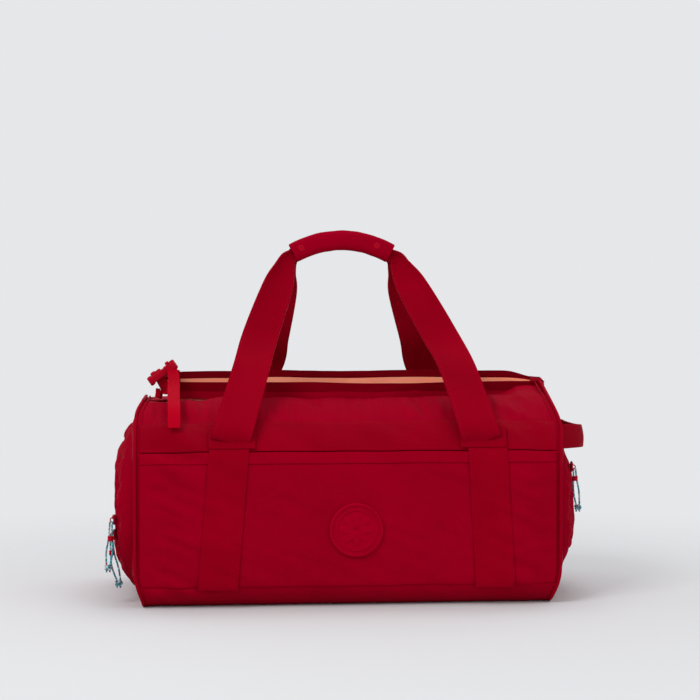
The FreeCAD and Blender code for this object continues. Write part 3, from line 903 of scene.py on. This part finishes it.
# each lip: its wave and top, then where its cloth, tape and facing start and end and how far in they stand
LIPS = (
    ("front", -1, 0.0018, LIP_FRONT_TOP,
     (-0.004, 0.001), (-0.011, 0.0, 0.0005), (-0.010, -0.004, 0.0042, 0.0016)),
    ("back", 1, 0.0022, LIP_BACK_TOP,
     (-0.002, 0.001), (-0.007, 0.001, 0.002), (-0.012, -0.0082, 0.0046, 0.0022)),
)
for name, sign, wave, top, cloth, tape, facing in LIPS:
    lip_cloth(name + "_lip_cloth", sign, TOP_Z - 0.004, top + cloth[0], cloth[1], BODY_CLOTH,
              "body_fabric", "mouth_lip_" + name, wave)
    lip_cloth(name + "_lip_tape", sign, top + tape[0], top + tape[1], tape[2], ZIP_TAPE,
              "zip_tape", "zip_coil_" + name, wave)
    lip_cloth(name + "_lip_facing", sign, TOP_Z + facing[0], top + facing[1], facing[2], LINING,
              "lining", "lip_facing_" + name, facing[3], LINING_THICK)


def lining_side(name, sign, *nodes):
    """The loose lining inside the shell, from the board up to the mouth's rim."""
    def place(u, v):
        x = (-SEAM_X + LINING_GAP) + 2 * (SEAM_X - LINING_GAP) * u
        y, z, (out_y, out_z) = section(v, x)
        slack = -0.0085 + 0.002 * soft_noise((x, 0, z), 0.035, 100 + sign) * smooth_step(0.0, 0.05, z)
        return settled(Vector((x, sign * max(0.0, y + out_y * slack), z + out_z * slack)))

    piece = cloth_grid(name, 110, 70, place)
    thicken(piece, LINING_THICK)
    return dress(piece, LINING, "bag", "lining", *nodes)


def lining_end(name, side):
    """The lining inside one end of the bag."""
    def place(u, v):
        z = LINING_GAP + (TOP_Z - 0.018) * v
        half = max(0.0, end_half_width(z) - LINING_GAP)
        return settled(Vector((side * (SEAM_X - 0.0085), half * (2 * u - 1), z)))

    piece = cloth_grid(name, 40, 40, place)
    thicken(piece, LINING_THICK, 0)
    return dress(piece, LINING, "bag", "lining")


lining_side("lining_front", -1, "lining")
lining_side("lining_back", 1)
lining_end("lining_end_left", -1)
lining_end("lining_end_right", 1)
paint(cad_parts["base_board"], BOARD)


# ---- carry handles and grip

def handle_stations(side, sign, rest, foot, knee, hip, shoulder):
    """One leg from the belt tab up to the grip's end, by where it stands at four heights."""
    lean = side * sign
    return [
        (side * foot, sign * 0.1315, BELT_LOW + 0.012, 0.048, 0, 0.0),
        (side * (foot - 0.007), sign * 0.1300, 0.222, 0.047, 0, 0.0),
        (side * knee, sign * 0.0900, 0.2850, 0.045, lean * 3, 0.001),
        (side * (knee * 0.64 + hip * 0.36), sign * 0.0560, 0.3250, 0.044, lean * 6, 0.003),
        (side * hip, sign * 0.0250, 0.3860, 0.038, lean * 14, 0.006),
        (side * shoulder, sign * (rest + 0.004), 0.4110, 0.026, lean * 16, 0.006),
        (side * (shoulder - 0.0055), sign * rest, 0.4235, 0.017, lean * 6, 0.004),
        (side * 0.0560, sign * rest, 0.4300, 0.014, 0, 0.002),
    ]


def grip_arch(x):
    """Height of the grip's middle line."""
    return GRIP_TOP - 0.0125 - GRIP_SAG * (abs(x) / GRIP_HALF) ** 2


def handle_bow(sign, rest, half):
    """The webbing along the grip, standing on edge."""
    def place(u, v):
        x = half * (2 * v - 1)
        return Vector((x, sign * rest, grip_arch(x) - 0.001 + (u - 0.5) * 0.018))

    piece = cloth_grid("bow", 6, 40, place)
    scale_uv(piece, 2 * half)
    apply_modifier(piece, "SOLIDIFY", thickness=WEBBING_THICK, offset=0)
    return piece


def make_handle(body, sign, rest, bow_half, left, right):
    """A carry handle: two legs and the bow between them; left and right say where each leg stands."""
    pieces = [strap("leg", handle_stations(side, sign, rest, *places), WEBBING_THICK, 90, 12)
              for side, places in ((-1, left), (1, right))]
    pieces.append(handle_bow(sign, rest, bow_half))
    piece = join_pieces(body + "_webbing", pieces)
    clean_normals(piece, 0.00001)
    foot = sign * 0.131
    return dress(piece, WEBBING, body, "webbing", body, bend=((0, foot, 0.2090), (0, foot, 0.2230)))


make_handle("front_handle", -1, 0.0105, GRIP_HALF * 0.97,
            (0.1450, 0.1180, 0.0830, 0.0740), (0.1610, 0.1370, 0.0885, 0.0760))
make_handle("back_handle", 1, 0.0060, GRIP_HALF * 1.10,
            (0.1400, 0.0930, 0.0730, 0.0690), (0.1600, 0.1160, 0.0800, 0.0720))


def grip_cloth():
    """The padded sleeve sewn round the front handle."""
    def place(u, v):
        x = -GRIP_HALF - 0.002 + (2 * GRIP_HALF + 0.004) * v
        angle = u * math.tau
        end = smooth_step(0, 0.10, v) * smooth_step(0, 0.10, 1 - v)
        high, wide = 0.0126, 0.0076 + 0.0016 * end
        slope = -2 * GRIP_SAG * x / GRIP_HALF ** 2
        up = Vector((-slope, 0, 1)).normalized()
        shape = abs(math.cos(angle)) ** 0.8 * math.copysign(1, math.cos(angle))
        rise = abs(math.sin(angle)) ** 0.8 * math.copysign(1, math.sin(angle))
        crease = 0.0006 * soft_noise((x, angle * 0.01, 0), 0.012, 90)
        centre = Vector((x, -0.0105, grip_arch(x)))
        return centre + up * ((high + crease) * rise) + Vector((0, (wide + crease) * shape, 0))

    piece = cloth_grid("grip_sleeve", 40, 90, place)
    thicken(piece, 0.0018)
    apply_modifier(piece, "SUBSURF", levels=1, render_levels=1)
    return dress(piece, POCKET_CLOTH, "front_handle", "body_fabric", "grip_wrap")


def snap_cap(name, x, *nodes):
    """A domed press stud: a flattened sphere with a dish in its face."""
    deselect()
    bpy.ops.mesh.primitive_uv_sphere_add(segments=28, ring_count=14, radius=0.0042)
    cap = bpy.context.object
    cap.name = name
    for vertex in cap.data.vertices:
        ball = vertex.co.copy()
        dish = 0.0007 * (1 - smooth_step(0.0, 0.0026, math.hypot(ball.x, ball.z))) if ball.y < 0 else 0
        vertex.co = Vector((x + ball.x, -0.0196 + ball.y * 0.22 + dish, grip_arch(x) + 0.001 + ball.z))
    return dress(cap, PLASTIC, "front_handle", "red_plastic", *nodes)


grip_cloth()
snap_cap("grip_snap_left", -0.052, "grip_snap")
snap_cap("grip_snap_right", 0.044)


# ---- badge

def make_badge():
    """A round moulded badge: stepped rims, a ring of beads and a plain eight-petal rosette."""
    low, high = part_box("badge")
    centre_x, centre_z = (low.x + high.x) / 2, (low.z + high.z) / 2
    radius = (high.x - low.x) / 2
    face = high.y - 0.0075
    profile = [(0.0, 0.0012), (0.10, 0.0012), (0.62, 0.0012), (0.70, 0.0013), (0.72, 0.0021), (0.78, 0.0021),
               (0.80, 0.0013), (0.88, 0.0013), (0.90, 0.0024), (0.95, 0.0026), (1.0, 0.0014), (1.0, -0.004)]

    def place(u, v):
        position = v * (len(profile) - 1)
        index = min(int(position), len(profile) - 2)
        t = position - index
        share = profile[index][0] * (1 - t) + profile[index + 1][0] * t
        out = profile[index][1] * (1 - t) + profile[index + 1][1] * t
        angle = u * math.tau
        if share < 0.68:
            petal = 0.34 + 0.26 * abs(math.cos(4 * angle))
            out += 0.0011 * smooth_step(0.04, -0.04, share - petal) * smooth_step(0.06, 0.12, share)
        if 0.80 < share < 0.88:
            out += 0.0006 * max(0, math.cos(40 * angle))
        across, up = share * radius * math.cos(angle), share * radius * math.sin(angle)
        return Vector((centre_x + across, face - out, centre_z + up))

    piece = cloth_grid("round_badge", 320, 88, place)
    clean_normals(piece, 0.00004)
    return dress(piece, BADGE_RUBBER, "bag", "badge", "badge", smooth=80)


make_badge()


# ---- closure strap and buckle

def rounded_block(name, size, centre, bevel):
    """A cube primitive scaled to size with rounded edges."""
    deselect()
    bpy.ops.mesh.primitive_cube_add(size=1)
    piece = bpy.context.object
    piece.name = name
    for vertex in piece.data.vertices:
        vertex.co = Vector((vertex.co.x * size[0], vertex.co.y * size[1], vertex.co.z * size[2]))
    apply_modifier(piece, "BEVEL", width=bevel, segments=3)
    piece.data.transform(Matrix.Translation(centre))
    return piece


def turn_and_place(piece, degrees, axis, centre):
    """Turns a piece about an axis through the origin and then moves it to its place."""
    piece.data.transform(Matrix.Rotation(math.radians(degrees), 4, axis))
    piece.data.transform(Matrix.Translation(centre))


CLOSURE_X = -0.211
closure = strap("closure_webbing", [
    (CLOSURE_X, -0.1262, 0.2170, 0.0150, 0, 0),
    (CLOSURE_X, -0.1105, 0.2385, 0.0150, 0, 0),
    (CLOSURE_X - 0.001, -0.0790, 0.2555, 0.0150, 4, 0),
    (CLOSURE_X - 0.001, -0.0520, 0.2670, 0.0150, 8, 0.0005),
    (CLOSURE_X - 0.002, -0.0360, 0.2790, 0.0145, 14, 0.0008),
    (CLOSURE_X - 0.006, -0.0290, 0.2880, 0.0140, 30, 0.001),
], 0.0016, 60, 8)
dress(closure, NARROW_WEBBING, "closure", "webbing", "closure_strap",
      bend=((CLOSURE_X, -0.1250, 0.2190), (CLOSURE_X, -0.1170, 0.2290)))

BUCKLE_BLOCKS = (
    ((0, -9.4, 0), (39, 4.2, 9)), ((0, 9.4, 0), (39, 4.2, 9)),
    ((-17, 0, 0), (6, 19, 12)), ((17, 0, 0.6), (7, 20, 13)),
    ((-3, 0, 2.2), (7, 19, 10)), ((6.5, 0, 1.0), (5, 19, 9)),
    ((-10, 0, 4.4), (7, 14, 8)), ((11.5, 0, 4.4), (5, 16, 9)),
)
buckle = join_pieces("ladder_buckle", [
    rounded_block("block", [n * MM for n in size], [n * MM for n in middle], min(size) * 0.28 * MM)
    for middle, size in BUCKLE_BLOCKS])
turn_and_place(buckle, -35, "Y", middle_of("closure_buckle"))
dress(buckle, PLASTIC, "closure", "red_plastic", "closure_buckle", smooth=40)

tail = strap("closure_tail_webbing", [
    (-0.2310, -0.0200, 0.2820, 0.0145, 52, 0), (-0.2300, -0.0205, 0.2740, 0.0145, 45, 0),
    (-0.2250, -0.0215, 0.2650, 0.0145, 38, 0), (-0.2215, -0.0225, 0.2580, 0.0145, 40, 0),
    (-0.2265, -0.0240, 0.2535, 0.0145, 62, 0), (-0.2350, -0.0250, 0.2550, 0.0140, 70, 0),
], 0.0018, 50, 6)
dress(tail, NARROW_WEBBING, "closure", "webbing", "closure_tail")

tail_low, tail_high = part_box("zip_tail")
zip_end = strap("zip_tail_cloth", [
    (MOUTH_LEFT + 0.006, 0, tail_high.z - 0.007, 0.014, 90, 0),
    (MOUTH_LEFT - 0.004, 0, tail_high.z - 0.006, 0.014, 90, 0),
    (MOUTH_LEFT - 0.013, 0.001, tail_high.z - 0.008, 0.013, 90, 0),
    (tail_low.x, 0.002, tail_high.z - 0.010, 0.010, 90, 0),
], 0.0028, 30, 6)
dress(zip_end, ZIP_TAPE, "bag", "zip_tape", "zip_tail")


# ---- grab handle

grab_low, grab_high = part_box("grab_handle")
GRAB_Z = (grab_low.z + grab_high.z) / 2 - 0.005
GRAB_SLACK = 0.0045


def grab_line(v):
    """The webbing's line from above, from its front end to its back end."""
    half = grab_high.y - 0.001
    out = grab_high.x + GRAB_SLACK
    stations = [(SEAM_X - 0.001, -half), (SEAM_X + 0.013, -half + 0.004), (out - 0.003, -0.062),
                (out, -0.030), (out, 0.0), (out - 0.002, 0.030), (out - 0.006, 0.060),
                (SEAM_X + 0.012, half - 0.006), (SEAM_X - 0.001, half)]
    return along_curve(stations, v)


def grab_place(u, v):
    """A point of the grab webbing: it rolls a little and narrows towards the middle."""
    x, y = grab_line(v)
    middle = math.sin(math.pi * v)
    roll = 0.0022 * math.cos((u - 0.5) * math.pi) * middle
    slant = 0.003 * (0.5 - u) * middle
    z = GRAB_Z + (u - 0.5) * (0.034 - 0.008 * middle) + 0.003 - 0.004 * middle
    return Vector((x - 0.0015 + roll + slant, y, z))


grab = finish_band(cloth_grid("grab_webbing", 10, 80, grab_place), 0.21, WEBBING_THICK, 0.0006, 0)
dress(grab, WEBBING, "bag", "webbing", "grab_handle")


# ---- sliders, cord pulls and knots

BAIL = ((2.0, 2.2), (4.4, 2.6), (6.2, 0.6), (6.0, -1.6), (4.0, -3.4), (2.0, -3.0))


def slider_shape(name, side, degrees, node):
    """A zip slider: a rounded shield, a nose and a small bail that holds the cord."""
    low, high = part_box(node)
    centre = (low + high) / 2
    base = low.x if side > 0 else high.x
    shield = rounded_block("shield", (0.0026, 0.0085, 0.0118), (side * 0.0013, 0, 0), 0.0011)
    nose = rounded_block("nose", (0.0032, 0.0050, 0.0050), (side * 0.0022, 0, 0.0030), 0.0012)
    bail = add_mesh_tube("bail", [(side * out * MM, 0, up * MM) for out, up in BAIL], 0.0007)
    piece = join_pieces(name, [shield, nose, bail])
    turn_and_place(piece, degrees, "X", (base, centre.y, centre.z))
    return dress(piece, ZIP_METAL, node, "painted_zip", node, smooth=45)


def cord_leg(eye, side, sleeve_drop, knot_drop, lean, forward, spread):
    """The route of one leg of a cord pull, from the slider's bail to the knot, in millimetre steps."""
    x, y, z = eye
    halfway = (sleeve_drop + knot_drop) / 2 + 2
    return [
        (x + side * 1.4 * MM, y, z - 2.6 * MM),
        (x + (lean * 0.1 + side * 1.7) * MM, y - forward * 0.8 * MM, z - sleeve_drop * MM),
        (x + (lean * 0.55 + side * spread) * MM, y - forward * MM, z - halfway * MM),
        (x + (lean + side * 2.0) * MM, y - forward * MM, z - knot_drop * MM),
    ]


def knot_shape(name, body, node):
    """A small overhand knot with two short tails."""
    centre = middle_of(node)
    loop = []
    for index in range(KNOT_POINTS):
        turn = index / KNOT_POINTS * math.tau
        ring = 2.6 + 1.1 * math.cos(3 * turn)
        loop.append((centre.x + ring * math.cos(2 * turn) * MM,
                     centre.y + ring * math.sin(2 * turn) * MM * 0.9,
                     centre.z + 1.9 * math.sin(3 * turn) * MM))
    pieces = [add_mesh_tube("turns", loop, 1.45 * MM, closed=True)]
    for side in (-1, 1):
        pieces.append(add_mesh_tube("tail", [
            (centre.x + side * 0.8 * MM, centre.y, centre.z - 1.5 * MM),
            (centre.x + side * 1.6 * MM, centre.y, centre.z - 3.6 * MM),
            (centre.x + side * 2.4 * MM, centre.y - 0.4 * MM, centre.z - 5.6 * MM)], 1.05 * MM))
    piece = join_pieces(name, pieces)
    return dress(piece, CORD, body, "cord", node, smooth=80)


def sleeve_shape(name, node, body):
    """A short moulded sleeve, waisted in the middle, that both legs pass through."""
    centre = middle_of(node)
    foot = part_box(node)[0].z
    outline = [(0.0012, 0), (0.0026, 0), (0.0033, 0.0007), (0.0032, 0.003), (0.0033, 0.0053),
               (0.0026, 0.006), (0.0012, 0.006)]

    def place(u, v):
        radius, up = along_curve(outline, v)
        angle = u * math.tau
        across, out = radius * 1.08 * math.cos(angle), radius * 0.8 * math.sin(angle)
        return Vector((centre.x + across, centre.y + out, foot + up))

    piece = cloth_grid(name, 32, 24, place)
    clean_normals(piece)
    return dress(piece, PLASTIC, body, "red_plastic", node, smooth=50)


# each pull: its end, the degrees round the zip below level, and its route (drops, lean, forward, spread)
PULLS = (
    ("left_upper", -1, 6, (22, 54, -3, 11, 4.6)),
    ("left_lower", -1, 19, (22, 56, 9, 3, 4.8)),
    ("right", 1, -36, (15, 48, 4, 1, 4.2)),
)
for name, side, degrees, measures in PULLS:
    slider_low, slider_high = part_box(name + "_slider")
    slider_shape(name + "_zip_slider", side, degrees, name + "_slider")
    outward = slider_high.x if side > 0 else slider_low.x
    eye = (outward - side * 1.3 * MM, -TRACK_RADIUS * math.cos(math.radians(degrees)),
           POCKET_CENTRE_Z - TRACK_RADIUS * math.sin(math.radians(degrees)))
    pull = name + "_pull"
    sleeve = sleeve_shape(name + "_pull_sleeve", name + "_sleeve", pull)
    knot = knot_shape(name + "_pull_knot", pull, name + "_knot")
    for tag, leg_side in (("outer", -1), ("inner", 1)):
        route = cord_leg(eye, leg_side, *measures)
        leg = round_curve(name + "_pull_" + tag, route, CORD_RADIUS, along=12, around=4)
        paint(leg, CORD)
        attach(leg, pull)
        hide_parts(name + "_cord_" + tag)
        run = sum((Vector(b) - Vector(a)).length for a, b in zip(route, route[1:]))
        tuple(route[0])

for node in ("main_slider", "main_pull_tab"):
    paint(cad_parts[node], ZIP_METAL)


# ---- floor, light and camera

def studio_surface(name, colour):
    """Pale paper that fades out into the background away from the bag."""
    material, w, shader = start_material(name, 0.95, 0.0, 0.0)
    shader.inputs["Base Color"].default_value = colour
    place = w.add("ShaderNodeTexCoord").outputs["Object"]
    stretch = w.add("ShaderNodeMapping")
    stretch.inputs["Scale"].default_value = (0.9, 0.9, 0.9)
    w.join(place, stretch.inputs["Vector"])
    distance = w.add("ShaderNodeVectorMath", operation="LENGTH")
    w.join(stretch.outputs[0], distance.inputs[0])
    fade = w.add("ShaderNodeMapRange", interpolation_type="SMOOTHSTEP")
    w.join(distance.outputs["Value"], fade.inputs["Value"])
    for socket, value in (("From Min", 0.38), ("From Max", 0.95), ("To Min", 1.0), ("To Max", 0.0)):
        fade.inputs[socket].default_value = value
    w.join(fade.outputs[0], shader.inputs["Alpha"])
    return material


deselect()
bpy.ops.mesh.primitive_plane_add(size=6, location=(0, 0, 0))
floor = bpy.context.object
floor.name = "studio_floor"
floor.data.materials.append(studio_surface("pale_paper", (0.665, 0.668, 0.675, 1)))

world = bpy.data.worlds.new("soft_studio")
bpy.context.scene.world = world
world.use_nodes = True
world.node_tree.nodes["Background"].inputs[0].default_value = (0.79, 0.80, 0.82, 1)
world.node_tree.nodes["Background"].inputs[1].default_value = 1.0


def soft_light(name, place, aim, width, power):
    """A square area light."""
    data = bpy.data.lights.new(name, "AREA")
    data.shape = "SQUARE"
    data.size = width
    data.energy = power
    lamp = new_object(name, data)
    lamp.location = place
    lamp.rotation_euler = (Vector(aim) - Vector(place)).to_track_quat("-Z", "Y").to_euler()


soft_light("key_light", (-1.5, -1.7, 2.2), (0, 0, 0.2), 1.1, 30)
soft_light("fill_light", (1.8, -2.2, 1.2), (0, 0, 0.2), 1.6, 8)
soft_light("top_light", (0.2, 0.5, 2.4), (0, 0, 0.2), 1.0, 9)

bpy.context.scene.view_settings.view_transform = "Standard"

CAMERA_AZIMUTH = math.radians(-5)
CAMERA_RISE = math.radians(1.3)
CAMERA_DISTANCE = 2.1
VIEW_WIDTH = 0.842
SENSOR_WIDTH = 36
aim_at = Vector((0.0, -0.13, 0.310))
camera_data = bpy.data.cameras.new("studio_camera")
camera = new_object("studio_camera", camera_data)
toward = Vector((math.sin(CAMERA_AZIMUTH) * math.cos(CAMERA_RISE),
                 -math.cos(CAMERA_AZIMUTH) * math.cos(CAMERA_RISE), math.sin(CAMERA_RISE)))
camera.location = aim_at + toward * CAMERA_DISTANCE
camera.rotation_euler = (-toward).to_track_quat("-Z", "Y").to_euler()
camera_data.sensor_width = SENSOR_WIDTH
camera_data.lens = SENSOR_WIDTH * CAMERA_DISTANCE / VIEW_WIDTH
bpy.context.scene.camera = camera
